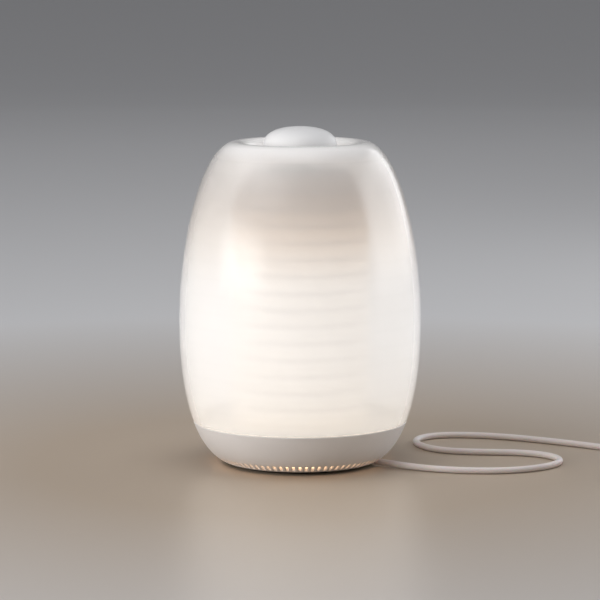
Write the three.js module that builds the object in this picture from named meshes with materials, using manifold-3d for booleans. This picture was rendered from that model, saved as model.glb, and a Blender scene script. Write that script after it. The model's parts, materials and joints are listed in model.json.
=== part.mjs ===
// A glowing table speaker: an opal shade on a white bowl, a dome knob in a well on top, a light
// column inside a ribbed diffuser, and a shallow driver that fires down behind a ring of slots.
// Millimetres, +Z up, front towards -Y. The origin is the centre of the foot, on the table.
import * as THREE from 'three';
import { mergeVertices } from 'three/addons/utils/BufferGeometryUtils.js';
import Module from 'manifold-3d';

const wasm = await Module();
wasm.setup();

// ---- driving dimensions ------------------------------------------------------------------
const DIAMETER = 180;        // widest width of the body
const CREST = 240.4;         // height of the shade's rolled lip
const KNOB_TOP = 251.4;
const FOOT_GAP = 2.2;        // the bowl's lower edge floats this far above the table
const SEAM = 32.2;           // height of the seam between bowl and shade
const CLEAR = 0.3;           // gap between touching pieces
const BOWL_WALL = 2.6;
const SHADE_WALL = 2.8;
const EDGE_RADIUS = 57.4;    // the bowl's lower edge
const WAIST = 105;           // height of the widest circle
const LIP_RADIUS = 47.75;    // radius of the lip's crest
const LIP_IN = 8;            // the lip rolls in and down by a quarter ellipse
const LIP_DOWN = 6;
const SLOT_COUNT = 84;
const CORD_DIAMETER = 4.8;
const BOWL_SIDES = SLOT_COUNT / 2;   // segments round the bowl, two slots in each
const FINE = 32;             // segments round an outer piece
const PLAIN = 16;            // segments round an inner piece

const RADIUS = DIAMETER / 2;

// ---- the outline of the body -------------------------------------------------------------
const vec = (r, z) => new THREE.Vector2(r, z);
const bowlCurve = new THREE.CubicBezierCurve(
  vec(EDGE_RADIUS, FOOT_GAP), vec(0.9256 * RADIUS, FOOT_GAP + 12.1),
  vec(RADIUS, WAIST - 39.7), vec(RADIUS, WAIST));
const shoulderCurve = new THREE.CubicBezierCurve(
  vec(RADIUS, WAIST), vec(RADIUS, WAIST + 63.6),
  vec(LIP_RADIUS + 24.5, CREST), vec(LIP_RADIUS, CREST));

// A point of a curve, moved inwards by a wall's thickness.
function inset(curve, t, depth) {
  const point = curve.getPoint(t);
  const along = curve.getTangent(t);
  return vec(point.x - along.y * depth, point.y + along.x * depth);
}

// The parameter at which the inset curve reaches a height.
function paramAt(curve, height, depth = 0) {
  let low = 0;
  let high = 1;
  for (let step = 0; step < 40; step += 1) {
    const middle = (low + high) / 2;
    if (inset(curve, middle, depth).y < height) low = middle;
    else high = middle;
  }
  return (low + high) / 2;
}

function wallRadius(curve, height, depth = 0) {
  return inset(curve, paramAt(curve, height, depth), depth).x;
}

// Points of the inset curve from one parameter to another.
function stretch(curve, from, to, count, depth = 0) {
  const points = [];
  for (let i = 0; i <= count; i += 1) {
    points.push(inset(curve, from + (to - from) * i / count, depth));
  }
  return points;
}

function arc(centre, radiusX, radiusZ, fromDeg, toDeg, count) {
  const points = [];
  for (let i = 0; i <= count; i += 1) {
    const angle = THREE.MathUtils.degToRad(fromDeg + (toDeg - fromDeg) * i / count);
    points.push(vec(centre.x + radiusX * Math.cos(angle), centre.y + radiusZ * Math.sin(angle)));
  }
  return points;
}

// ---- shape helpers -----------------------------------------------------------------------
// Turns an outline (radius, height), given counter-clockwise, round the Z axis.
function turned(outline, segments = PLAIN) {
  const points = outline.slice();
  if (points[0].x > 0) points.push(points[0].clone());
  return new THREE.LatheGeometry(points, segments).rotateX(Math.PI / 2);
}

function ring(inner, outer, low, high, segments = PLAIN) {
  return turned([vec(inner, low), vec(outer, low), vec(outer, high), vec(inner, high)], segments);
}

function rod(radius, low, high, segments = PLAIN) {
  return turned([vec(0, low), vec(radius, low), vec(radius, high), vec(0, high)], segments);
}

function block(width, depth, low, high) {
  return new THREE.BoxGeometry(width, depth, high - low).translate(0, 0, (low + high) / 2);
}

function around(geometry, radius, azimuthDeg) {
  return geometry.translate(radius, 0, 0).rotateZ(THREE.MathUtils.degToRad(azimuthDeg));
}

// A flat sector of a ring, such as a curved circuit board.
function sector(inner, outer, fromDeg, toDeg, low, high) {
  const from = THREE.MathUtils.degToRad(fromDeg);
  const to = THREE.MathUtils.degToRad(toDeg);
  const shape = new THREE.Shape();
  shape.absarc(0, 0, outer, from, to, false);
  shape.absarc(0, 0, inner, to, from, true);
  const settings = { depth: high - low, bevelEnabled: false, curveSegments: 10 };
  return new THREE.ExtrudeGeometry(shape, settings).translate(0, 0, low);
}

function polygon(radius, sides) {
  const shape = new THREE.Shape();
  for (let i = 0; i < sides; i += 1) {
    const angle = 2 * Math.PI * i / sides;
    const x = radius * Math.cos(angle);
    const y = radius * Math.sin(angle);
    if (i === 0) shape.moveTo(x, y);
    else shape.lineTo(x, y);
  }
  shape.closePath();
  return shape;
}

function tube(points, diameter, sides, steps) {
  const section = polygon(diameter / 2, sides);
  const path = new THREE.CatmullRomCurve3(points.map((p) => new THREE.Vector3(...p)));
  return new THREE.ExtrudeGeometry(section, { steps, extrudePath: path, curveSegments: 1 });
}

// ---- joining and cutting -----------------------------------------------------------------
function solid(geometry) {
  const bare = geometry.index ? geometry.toNonIndexed() : geometry.clone();
  bare.deleteAttribute('normal');
  bare.deleteAttribute('uv');
  const merged = mergeVertices(bare, 1e-4);
  const index = merged.index.array;
  const triangles = [];
  for (let i = 0; i < index.length; i += 3) {
    const [a, b, c] = [index[i], index[i + 1], index[i + 2]];
    if (a !== b && b !== c && c !== a) triangles.push(a, b, c);
  }
  return new wasm.Manifold(new wasm.Mesh({
    numProp: 3,
    vertProperties: new Float32Array(merged.attributes.position.array),
    triVerts: new Uint32Array(triangles),
  }));
}

function geometryOf(manifold) {
  const mesh = manifold.getMesh();
  const geometry = new THREE.BufferGeometry();
  geometry.setAttribute('position', new THREE.BufferAttribute(mesh.vertProperties, 3));
  geometry.setIndex(new THREE.BufferAttribute(mesh.triVerts, 1));
  geometry.computeVertexNormals();
  return geometry;
}

function join(geometry, pieces) {
  return geometryOf(pieces.reduce((whole, piece) => whole.add(solid(piece)), solid(geometry)));
}

function cut(geometry, pieces) {
  return geometryOf(pieces.reduce((whole, piece) => whole.subtract(solid(piece)), solid(geometry)));
}

// ---- the model ---------------------------------------------------------------------------
const speaker = new THREE.Group();

const finishes = {
  opal: { color: 0xf4f0e8, roughness: 0.15, metalness: 0 },
  white: { color: 0xe6e2dd, roughness: 0.55, metalness: 0 },
  diffuser: { color: 0xf7e8d4, roughness: 0.6, metalness: 0 },
  dark: { color: 0x2a2827, roughness: 0.7, metalness: 0 },
  rubber: { color: 0x1c1b1b, roughness: 0.85, metalness: 0 },
  board: { color: 0x1d5a34, roughness: 0.5, metalness: 0 },
  paper: { color: 0x3a3836, roughness: 0.9, metalness: 0 },
  steel: { color: 0xa8aaad, roughness: 0.35, metalness: 1 },
  alloy: { color: 0xc4c6c8, roughness: 0.4, metalness: 1 },
  brass: { color: 0xc8a24c, roughness: 0.35, metalness: 1 },
  cord: { color: 0xe4dad6, roughness: 0.5, metalness: 0 },
};

function add(name, geometry, finish) {
  const mesh = new THREE.Mesh(geometry, new THREE.MeshStandardMaterial(finishes[finish]));
  mesh.name = name;
  speaker.add(mesh);
  return mesh;
}

// The lead leaves through a channel under the base. Its axis runs CHANNEL_AZIMUTH degrees from +X
// and passes the centre at CHANNEL_OFFSET, and it drops slightly towards the edge.
const CHANNEL_AZIMUTH = -33;
const CHANNEL_OFFSET = 15.3;
const CHANNEL_WIDTH = 10.6;
const CHANNEL_TOP = 8.9;
const RELIEF_START = 29;
const RELIEF_END = 56;
const RELIEF_START_HEIGHT = 4.7;
const RELIEF_END_HEIGHT = 3.4;

function inChannel(geometry, distance) {
  return geometry.translate(distance, CHANNEL_OFFSET, 0)
    .rotateZ(THREE.MathUtils.degToRad(CHANNEL_AZIMUTH));
}

function leadNotch() {
  const long = 20;
  const radius = 3.5;
  const hole = new THREE.CylinderGeometry(radius, radius, long, 16).rotateZ(Math.PI / 2)
    .translate(0, 0, RELIEF_END_HEIGHT);
  return [
    inChannel(hole, RELIEF_END + 2),
    inChannel(block(long, 2 * radius, -1, RELIEF_END_HEIGHT), RELIEF_END + 2),
  ];
}

// ---- base --------------------------------------------------------------------------------
const COVER_RADIUS = EDGE_RADIUS - 3.3;
const COVER_LOW = FOOT_GAP + 0.4;
const COVER_HIGH = COVER_LOW + 2.4;
const BAFFLE_LOW = 12.2;
const BAFFLE_HIGH = 14;
const BAFFLE_RADIUS = 64.8;
const DRIVER_HOLE = 33.5;
const SCREW_CIRCLE = 36.5;
const SCREW_AZIMUTHS = [14, 104, 194, 284];
const LEDGE_HIGH = 27.3;
const LEDGE_DEPTH = 3;
const SLOTS_FROM = 0.022;
const SLOTS_TO = 0.12;
const QUARTER_FACET = Math.PI / SLOT_COUNT;   // turns the bowl so that no slot meets a facet's edge

function baseBowl() {
  const top = SEAM - 0.5;
  const rim = EDGE_RADIUS - 2.9;
  const innerFoot = inset(bowlCurve, 0, BOWL_WALL);
  const ledgeLow = LEDGE_HIGH - 1.6;
  const outer = stretch(bowlCurve, SLOTS_TO, paramAt(bowlCurve, top), 6);
  const upper = stretch(bowlCurve, paramAt(bowlCurve, top, BOWL_WALL),
    paramAt(bowlCurve, LEDGE_HIGH, BOWL_WALL), 1, BOWL_WALL);
  const lower = stretch(bowlCurve, paramAt(bowlCurve, ledgeLow, BOWL_WALL), SLOTS_TO, 3, BOWL_WALL);
  const shell = turned([
    vec(rim, FOOT_GAP),
    bowlCurve.getPoint(0),
    bowlCurve.getPoint(SLOTS_FROM),
    ...outer,
    ...upper,
    vec(upper.at(-1).x - LEDGE_DEPTH, LEDGE_HIGH),
    vec(lower[0].x - LEDGE_DEPTH, ledgeLow),
    ...lower,
    inset(bowlCurve, SLOTS_FROM, BOWL_WALL),
    innerFoot,
    vec(rim, innerFoot.y),
  ], BOWL_SIDES).rotateZ(QUARTER_FACET);
  return cut(shell, [...slots(), ...leadNotch()]);
}

// Narrow radial slots through the wall's lower rounding, left out around the lead. They lie in one
// facet of the wall, between two parameters of the bowl's curve.
function slots() {
  const width = 2.2;
  const margin = 0.008;
  const clearOfLead = 7;
  const from = inset(bowlCurve, SLOTS_FROM + margin, BOWL_WALL / 2);
  const to = inset(bowlCurve, SLOTS_TO - margin, BOWL_WALL / 2);
  const slope = Math.atan2(to.y - from.y, to.x - from.x);
  const leadAzimuth = CHANNEL_AZIMUTH
    + THREE.MathUtils.radToDeg(Math.atan2(CHANNEL_OFFSET, RELIEF_END));
  const cutters = [];
  for (let i = 0; i < SLOT_COUNT; i += 1) {
    const azimuth = -90 + 360 * i / SLOT_COUNT;
    const fromLead = Math.abs(((azimuth - leadAzimuth + 540) % 360) - 180);
    if (fromLead < clearOfLead) continue;
    const slot = new THREE.BoxGeometry(from.distanceTo(to), width, 3 * BOWL_WALL)
      .rotateY(-slope)
      .translate(0, 0, (from.y + to.y) / 2);
    cutters.push(around(slot, (from.x + to.x) / 2, azimuth));
  }
  return cutters;
}

function slotMesh() {
  const near = BOWL_WALL + CLEAR;
  const far = near + 0.8;
  const cloth = turned([
    ...stretch(bowlCurve, SLOTS_FROM, SLOTS_TO, 1, near),
    ...stretch(bowlCurve, SLOTS_TO, SLOTS_FROM, 1, far),
  ], BOWL_SIDES).rotateZ(QUARTER_FACET);
  return cut(cloth, leadNotch());
}

function bottomCover() {
  const troughFrom = RELIEF_START - 3;
  const troughTo = 48;
  const trough = block(troughTo - troughFrom, CHANNEL_WIDTH + 3, COVER_LOW, CHANNEL_TOP + 0.8);
  const channelLong = 40;
  const channel = block(channelLong, CHANNEL_WIDTH, -1, CHANNEL_TOP);
  const plate = join(rod(COVER_RADIUS, COVER_LOW, COVER_HIGH, FINE),
    [inChannel(trough, (troughFrom + troughTo) / 2)]);
  const holes = SCREW_AZIMUTHS.flatMap((azimuth) => [
    around(rod(1.7, COVER_LOW - 1, COVER_HIGH + 1, 12), SCREW_CIRCLE, azimuth),
    around(rod(3, COVER_LOW - 1, COVER_LOW + 1.2, 12), SCREW_CIRCLE, azimuth),
  ]);
  return cut(plate, [inChannel(channel, RELIEF_START - 1 + channelLong / 2), ...holes]);
}

function footRing() {
  const gap = block(40, CHANNEL_WIDTH + 2, -1, COVER_LOW);
  return cut(ring(40.5, 50, 0, COVER_LOW - CLEAR, FINE), [inChannel(gap, 46)]);
}

function coverScrew() {
  return turned([
    vec(0, COVER_LOW + 0.2), vec(2.6, COVER_LOW + 0.2), vec(2.6, COVER_LOW + 0.9),
    vec(1.3, COVER_LOW + 1.0), vec(1.3, BAFFLE_LOW - 0.5), vec(0, BAFFLE_LOW - 0.5),
  ], 12);
}

function baffle() {
  const plate = ring(DRIVER_HOLE, BAFFLE_RADIUS, BAFFLE_LOW, BAFFLE_HIGH, FINE);
  const bosses = SCREW_AZIMUTHS.map((azimuth) => (
    around(rod(3, COVER_HIGH + CLEAR, BAFFLE_LOW + 0.5, 12), SCREW_CIRCLE + 1, azimuth)));
  const standoffs = [75, 180, 285, 35, -35].map((azimuth) => (
    around(rod(2, BAFFLE_HIGH - 0.5, BOARD_LOW - CLEAR, 10), BOARD_CIRCLE, azimuth)));
  const bores = SCREW_AZIMUTHS.map((azimuth) => (
    around(rod(1.6, 0, BAFFLE_LOW, 12), SCREW_CIRCLE, azimuth)));
  return cut(join(plate, [...bosses, ...standoffs]), bores);
}

function strainRelief() {
  const long = RELIEF_END - RELIEF_START;
  const drop = Math.atan2(RELIEF_START_HEIGHT - RELIEF_END_HEIGHT, long);
  const body = turned([
    vec(0, 0), vec(3.9, 0), vec(3.9, 2.2), vec(3.5, 2.8), vec(2.7, long), vec(0, long),
  ], 16);
  return inChannel(body.rotateY(Math.PI / 2 + drop).translate(0, 0, RELIEF_START_HEIGHT),
    RELIEF_START);
}

// ---- electronics in the base -------------------------------------------------------------
const BOARD_LOW = 18;
const BOARD_HIGH = 19.6;
const BOARD_INNER = 48;
const BOARD_OUTER = 64.5;
const BOARD_CIRCLE = (BOARD_INNER + BOARD_OUTER) / 2;

function onBoard(geometry, azimuth) {
  return around(geometry.translate(0, 0, BOARD_HIGH + CLEAR), BOARD_CIRCLE, azimuth);
}

// ---- driver ------------------------------------------------------------------------------
const FLANGE_LOW = BAFFLE_HIGH + CLEAR;
const FLANGE_HIGH = FLANGE_LOW + 1.5;
const BASKET_TOP = 28.3;
const CONE_RADIUS = 27.4;
const CONE_NECK = 9.6;
const CONE_TOP = 23.6;
const PAPER = 0.6;
const COIL_INNER = 8.6;
const COIL_OUTER = 9.1;
const POLE_RADIUS = 8.2;
const MAGNET_RADIUS = 20;
const MAGNET_LOW = 31.5;
const MAGNET_HIGH = 34.6;
const YOKE_LOW = 34.9;
const YOKE_HIGH = 37.4;

function driverBasket() {
  const frame = turned([
    vec(33.2, FLANGE_LOW), vec(38.5, FLANGE_LOW), vec(38.5, FLANGE_HIGH), vec(35, FLANGE_HIGH),
    vec(21.5, BASKET_TOP), vec(12, BASKET_TOP), vec(12, BASKET_TOP - 1.3),
    vec(20, BASKET_TOP - 1.3), vec(33.2, FLANGE_HIGH - 0.4),
  ], 24);
  const windows = [];
  for (let i = 0; i < 5; i += 1) {
    windows.push(around(block(9, 14, FLANGE_HIGH + 1.5, BASKET_TOP - 3.5), 27.5, 72 * i));
  }
  return cut(frame, windows);
}

function driverCone() {
  return turned([
    vec(CONE_RADIUS, FLANGE_LOW - PAPER), vec(CONE_RADIUS, FLANGE_LOW - 0.1),
    vec(CONE_NECK, CONE_TOP), vec(CONE_NECK, CONE_TOP - PAPER),
  ]);
}

function dustCap() {
  const centre = vec(0, 22);
  const depth = 4;
  return turned([
    ...arc(centre, COIL_OUTER, depth, 270, 350, 3),
    ...arc(centre, COIL_OUTER - 0.7, depth - PAPER, 350, 270, 3),
  ]);
}

// The yoke: a flat plate above the magnet, with the centre pole reaching down into the coil.
function yoke() {
  const poleLow = 29;
  return turned([
    vec(0, poleLow), vec(POLE_RADIUS, poleLow), vec(POLE_RADIUS, YOKE_LOW),
    vec(MAGNET_RADIUS, YOKE_LOW), vec(MAGNET_RADIUS, YOKE_HIGH), vec(0, YOKE_HIGH),
  ]);
}

// The closed cup behind the driver.
function speakerChamber() {
  const inner = 43.5;
  const wall = 2;
  return turned([
    vec(inner, FLANGE_LOW), vec(inner + wall, FLANGE_LOW), vec(inner + wall, CHAMBER_TOP),
    vec(0, CHAMBER_TOP), vec(0, CHAMBER_TOP - wall), vec(inner, CHAMBER_TOP - wall),
  ], 26);
}

function driverSurround() {
  const centre = vec(30.3, FLANGE_LOW - 0.4);
  return turned([
    ...arc(centre, 2.5, 2.5, 180, 360, 5),
    ...arc(centre, 2, 2, 360, 180, 4),
  ], 24);
}

// ---- light engine ------------------------------------------------------------------------
const CHAMBER_TOP = 40.6;
const REFLECTOR_TOP = 42.2;
const COLUMN_LOW = REFLECTOR_TOP + CLEAR;
const COLUMN_HIGH = 206;
const COLUMN_CORNER = 12;
const HARNESS_BORE = 3.2;    // radius of the hole that the harness passes through
const STRIP_COUNT = 6;
const RIB_PITCH = 12.33;
const RIB_FIRST = 34.2;
const RIB_DEPTH = 1.1;
const CORE_RADIUS = 51;
const CORE_LOW = 30.7;
const CORE_HIGH = 217;
const CORE_TOP_RADIUS = 37;
const CORE_WALL = 2;
const CORE_SHOULDER = 180;

// The ribbed diffuser's radius at a height: straight below the shoulder, then an easing curve.
function coreRadius(height) {
  const rise = Math.max(0, (height - CORE_SHOULDER) / (CORE_HIGH - CORE_SHOULDER));
  return CORE_RADIUS - (CORE_RADIUS - CORE_TOP_RADIUS) * rise ** 2.2;
}

function innerDiffuser() {
  const outer = [vec(CORE_RADIUS, CORE_LOW)];
  for (let groove = RIB_FIRST; groove < CORE_HIGH - 4; groove += RIB_PITCH) {
    outer.push(vec(coreRadius(groove) - RIB_DEPTH, groove));
    const crest = Math.min(groove + RIB_PITCH / 2, CORE_HIGH - 2);
    outer.push(vec(coreRadius(crest), crest));
  }
  outer.push(vec(CORE_TOP_RADIUS, CORE_HIGH));
  const inner = [];
  for (const height of [CORE_HIGH, 208, 198, CORE_SHOULDER, CORE_LOW]) {
    inner.push(vec(coreRadius(height) - RIB_DEPTH - CORE_WALL, height));
  }
  return turned([...outer, ...inner], 24);
}

function lightColumn() {
  const shape = polygon(COLUMN_CORNER, STRIP_COUNT);
  const bore = new THREE.Path();
  bore.absarc(0, 0, 7, 0, 2 * Math.PI, true);
  shape.holes.push(bore);
  const settings = { depth: COLUMN_HIGH - COLUMN_LOW, bevelEnabled: false, curveSegments: 10 };
  return new THREE.ExtrudeGeometry(shape, settings).translate(0, 0, COLUMN_LOW);
}

// The head joins the column to the closed top of the diffuser, with a bore for the harness.
function columnHead() {
  const low = COLUMN_HIGH + CLEAR;
  const flange = COLUMN_HIGH + 2.3;
  return turned([
    vec(HARNESS_BORE, low), vec(14, low), vec(14, flange), vec(8, flange),
    vec(8, CORE_HIGH), vec(HARNESS_BORE, CORE_HIGH),
  ]);
}

// A lamp strip: a thin board with a row of square lamps, its outline drawn from the side.
function ledStrip(index) {
  const lamps = 10;
  const low = 52;
  const pitch = 15;
  const board = 1;
  const proud = 2;
  const width = 8;
  const outline = new THREE.Shape();
  outline.moveTo(0, low);
  outline.lineTo(board, low);
  for (let i = 0; i < lamps; i += 1) {
    const start = low + pitch * (i + 0.35);
    const end = start + pitch * 0.3;
    outline.lineTo(board, start);
    outline.lineTo(proud, start);
    outline.lineTo(proud, end);
    outline.lineTo(board, end);
  }
  outline.lineTo(board, low + pitch * lamps);
  outline.lineTo(0, low + pitch * lamps);
  outline.closePath();
  const flat = COLUMN_CORNER * Math.cos(Math.PI / STRIP_COUNT) + CLEAR;
  const strip = new THREE.ExtrudeGeometry(outline, { depth: width, bevelEnabled: false })
    .translate(0, 0, -width / 2)
    .rotateX(Math.PI / 2);
  return around(strip, flat, 360 * (index + 0.5) / STRIP_COUNT);
}

// ---- shade -------------------------------------------------------------------------------
function shade() {
  const low = SEAM + CLEAR;
  const lipCentre = vec(LIP_RADIUS, CREST - LIP_DOWN);
  return turned([
    ...stretch(bowlCurve, paramAt(bowlCurve, low), 1, 5).slice(0, -1),
    ...stretch(shoulderCurve, 0, 1, 9),
    ...arc(lipCentre, LIP_IN, LIP_DOWN, 90, 180, 3).slice(1),
    ...arc(lipCentre, LIP_IN - SHADE_WALL, LIP_DOWN - SHADE_WALL, 180, 90, 2),
    ...stretch(shoulderCurve, 1, 0, 6, SHADE_WALL).slice(1),
    ...stretch(bowlCurve, 1, paramAt(bowlCurve, low, SHADE_WALL), 3, SHADE_WALL).slice(1),
  ], FINE);
}

function shadeGasket() {
  const low = SEAM - 0.2;
  return ring(wallRadius(bowlCurve, low, BOWL_WALL - 0.4), wallRadius(bowlCurve, low, 0.5),
    low, SEAM + 0.05, FINE);
}

function chassisRing() {
  const low = LEDGE_HIGH + CLEAR;
  const high = CORE_LOW - CLEAR;
  const reach = wallRadius(bowlCurve, low, BOWL_WALL) - 0.6;
  const rail = wallRadius(bowlCurve, SEAM + 1, SHADE_WALL) - 1.2;
  return turned([
    vec(46.2, low), vec(reach, low), vec(reach, high), vec(rail, high + 0.4),
    vec(rail, SEAM + 4), vec(rail - 2, SEAM + 4), vec(rail - 2, high), vec(46.2, high),
  ], FINE);
}

// ---- knob and its well -------------------------------------------------------------------
const DISH_OUTER = LIP_RADIUS - LIP_IN - 0.45;
const DISH_FLOOR_LOW = 227;
const DISH_FLOOR_HIGH = 228.5;
const CAP_HIGH = 219.3;
const KNOB_RADIUS = 27.2;
const KNOB_POWER = 2.3;       // the dome is a slightly squared ellipse
const KNOB_EQUATOR = 238;
const KNOB_SKIRT = 231.4;
const KNOB_WALL = 2.2;
const SHAFT_RADIUS = 2.6;
const ENCODER_LOW = 221.5;
const ENCODER_HIGH = 226.4;
const ENCODER_NECK = 3.6;

function topDish() {
  const wall = 1.6;
  const dish = turned([
    vec(4, DISH_FLOOR_LOW), vec(DISH_OUTER - 1, DISH_FLOOR_LOW), vec(DISH_OUTER, DISH_FLOOR_LOW + 1),
    vec(DISH_OUTER, CREST - LIP_DOWN + 0.8), vec(DISH_OUTER - wall, CREST - LIP_DOWN + 0.8),
    vec(DISH_OUTER - wall, DISH_FLOOR_HIGH + 1), vec(DISH_OUTER - wall - 1, DISH_FLOOR_HIGH),
    vec(4, DISH_FLOOR_HIGH),
  ], FINE);
  const postCircle = 30;
  const posts = [30, 150, 270].map((azimuth) => (
    around(rod(2.2, CAP_HIGH + CLEAR, DISH_FLOOR_LOW + 0.5, 10), postCircle, azimuth)));
  return join(dish, posts);
}

function encoderBody() {
  const wide = 13;
  const floor = 0.8;
  const neckTop = 231;
  const neck = rod(ENCODER_NECK, ENCODER_HIGH - 0.4, neckTop, 16);
  const bore = rod(SHAFT_RADIUS + 0.2, ENCODER_LOW + floor, neckTop + 9, 16);
  return cut(join(block(wide, wide, ENCODER_LOW, ENCODER_HIGH), [neck]), [bore]);
}

function encoderNut() {
  const corner = 6.2;
  const bore = new THREE.Path();
  bore.absarc(0, 0, ENCODER_NECK + CLEAR, 0, 2 * Math.PI, true);
  const shape = polygon(corner, 6);
  shape.holes.push(bore);
  const settings = { depth: 1.8, bevelEnabled: false, curveSegments: 8 };
  return new THREE.ExtrudeGeometry(shape, settings).translate(0, 0, DISH_FLOOR_HIGH + CLEAR);
}

// Points of the knob's dome, or of its inner side, between two angles above the equator.
function dome(depth, fromDeg, toDeg, count) {
  const across = KNOB_RADIUS - depth;
  const rise = KNOB_TOP - KNOB_EQUATOR - depth;
  return arc(vec(0, 0), 1, 1, fromDeg, toDeg, count).map((unit) => (
    vec(across * Math.max(0, unit.x) ** (2 / KNOB_POWER),
      KNOB_EQUATOR + rise * Math.max(0, unit.y) ** (2 / KNOB_POWER))));
}

function knobCap() {
  const bossRadius = 7.5;
  const bossLow = 246;
  const bossHigh = KNOB_TOP - KNOB_WALL - 0.6;
  const skirtRise = 3.3;
  return turned([
    vec(0, bossLow), vec(bossRadius, bossLow), vec(bossRadius, bossHigh),
    ...dome(KNOB_WALL, 70, 0, 4),
    vec(KNOB_RADIUS - KNOB_WALL - 0.6, KNOB_SKIRT), vec(KNOB_RADIUS - 1.2, KNOB_SKIRT),
    vec(KNOB_RADIUS - 0.25, KNOB_SKIRT + skirtRise),
    ...dome(0, 0, 90, 8),
  ], FINE);
}

function knobSpring() {
  const turns = 4;
  const wire = 0.9;
  const radius = 4.7;
  const low = 231.4;
  const high = 236.1;
  const perTurn = 8;
  const steps = turns * perTurn;
  const points = [];
  for (let i = 0; i <= steps; i += 1) {
    const angle = 2 * Math.PI * i / perTurn;
    const height = low + (high - low) * i / steps;
    points.push([radius * Math.cos(angle), radius * Math.sin(angle), height]);
  }
  return tube(points, wire, 5, steps);
}

// ---- lead --------------------------------------------------------------------------------
const COIL_CENTRE = [279, 47.2];
const COIL_RADIUS = 27.6;
const COIL_WIDTH = 14.6;
const COIL_LOW = 1.2;
const COIL_HIGH = 13.6;
const PLUG_LONG = 36;
const PLUG_AXIS = 6.9;
const PLUG_START = [250, -28];

const RUN_ROUTE = [
  [55.8, -18.0, 3.38], [59.9, -20.7, 3.15], [67.2, -25.2, 2.95], [74.4, -30.4, 2.8],
  [81.6, -35.0, 2.65], [88.8, -38.9, 2.5], [96.0, -42.2, 2.4], [103.2, -45.1, 2.4],
  [117.7, -49.0, 2.4], [132.3, -50.9, 2.4], [147.0, -50.5, 2.4], [161.9, -46.6, 2.4],
  [177.3, -38.0, 2.4], [186.8, -28.5, 2.4], [192.4, -18.0, 2.4], [193.9, -7.0, 2.4],
  [190.8, 3.0, 2.4], [184.4, 11.2, 2.4], [170.4, 19.8, 2.4], [151.7, 23.3, 2.4],
  [129.2, 25.4, 2.4], [113.5, 29.8, 2.4], [102.6, 37.3, 2.4], [93.8, 50.0, 2.4],
  [89.9, 64.0, 2.4], [91.4, 78.5, 2.4], [98.6, 89.4, 2.4], [109.4, 95.6, 2.4],
  [123.0, 97.4, 2.4], [140.8, 95.1, 2.4], [156.1, 90.3, 2.4], [171.1, 83.3, 2.4],
  [186.0, 75.0, 2.4], [200.7, 65.5, 2.4], [215.2, 55.7, 2.4], [229.5, 45.1, 2.4],
  [242.6, 35.4, 2.4],
];

const TAIL_ROUTE = [
  [241.4, 36.5, 9.5], [241.6, 24.0, 6.0], [242.6, 12.0, 3.2], [244.6, 0.0, 2.4],
  [247.0, -9.0, 3.4], [249.2, -18.5, 5.9], [250.0, -27.3, 6.9],
];

function cordCoil() {
  const inner = COIL_RADIUS - COIL_WIDTH / 2;
  const outer = COIL_RADIUS + COIL_WIDTH / 2;
  const round = 1.6;
  return turned([
    vec(inner + round, COIL_LOW), vec(outer - round, COIL_LOW), vec(outer, COIL_LOW + round),
    vec(outer, COIL_HIGH - round), vec(outer - round, COIL_HIGH), vec(inner + round, COIL_HIGH),
    vec(inner, COIL_HIGH - round), vec(inner, COIL_LOW + round),
  ], 28).translate(...COIL_CENTRE, 0);
}

// A strap round the bundle of turns, on the side away from the speaker.
function cordTie() {
  const wide = 8;
  const thick = 0.8;
  const inner = COIL_RADIUS - COIL_WIDTH / 2 - 0.8;
  const outer = COIL_RADIUS + COIL_WIDTH / 2 + 0.3;
  const rectangle = (shape, x0, y0, x1, y1) => {
    shape.moveTo(x0, y0);
    shape.lineTo(x1, y0);
    shape.lineTo(x1, y1);
    shape.lineTo(x0, y1);
    shape.closePath();
    return shape;
  };
  const band = rectangle(new THREE.Shape(), inner - thick, 0.1, outer + thick, COIL_HIGH + 1.1);
  band.holes.push(rectangle(new THREE.Path(), inner, 0.9, outer, COIL_HIGH + 0.3));
  return new THREE.ExtrudeGeometry(band, { depth: wide, bevelEnabled: false })
    .translate(0, 0, -wide / 2)
    .rotateX(Math.PI / 2)
    .rotateZ(THREE.MathUtils.degToRad(25))
    .translate(...COIL_CENTRE, 0);
}

function plugBody() {
  const high = 13.4;
  const outline = new THREE.Shape();
  outline.moveTo(-4.5, 0);
  outline.bezierCurveTo(-5, -10, -13, -12, -13, -22);
  outline.lineTo(-13, 3 - PLUG_LONG);
  outline.quadraticCurveTo(-13, -PLUG_LONG, -10, -PLUG_LONG);
  outline.lineTo(10, -PLUG_LONG);
  outline.quadraticCurveTo(13, -PLUG_LONG, 13, 3 - PLUG_LONG);
  outline.lineTo(13, -22);
  outline.bezierCurveTo(13, -12, 5, -10, 4.5, 0);
  outline.closePath();
  return new THREE.ExtrudeGeometry(outline, { depth: high, bevelEnabled: false, curveSegments: 5 })
    .translate(...PLUG_START, PLUG_AXIS - high / 2);
}

function plugPin(side) {
  const long = 19;
  const x = PLUG_START[0] + side * 9.5;
  const y = PLUG_START[1] - PLUG_LONG - CLEAR - long / 2;
  return new THREE.CylinderGeometry(2, 2, long, 14).translate(x, y, PLUG_AXIS);
}

// ---- assembly, from the table up ---------------------------------------------------------
add('foot_ring', footRing(), 'rubber');
add('bottom_cover', bottomCover(), 'dark');
SCREW_AZIMUTHS.forEach((azimuth, i) => {
  add(`cover_screw_${i + 1}`, around(coverScrew(), SCREW_CIRCLE, azimuth), 'steel');
});
add('base_bowl', baseBowl(), 'white');
add('slot_mesh', slotMesh(), 'diffuser');
add('glow_board', ring(55, 61.5, BAFFLE_LOW - 1, BAFFLE_LOW - CLEAR), 'board');
add('baffle', baffle(), 'dark');
add('strain_relief', strainRelief(), 'cord');

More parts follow.
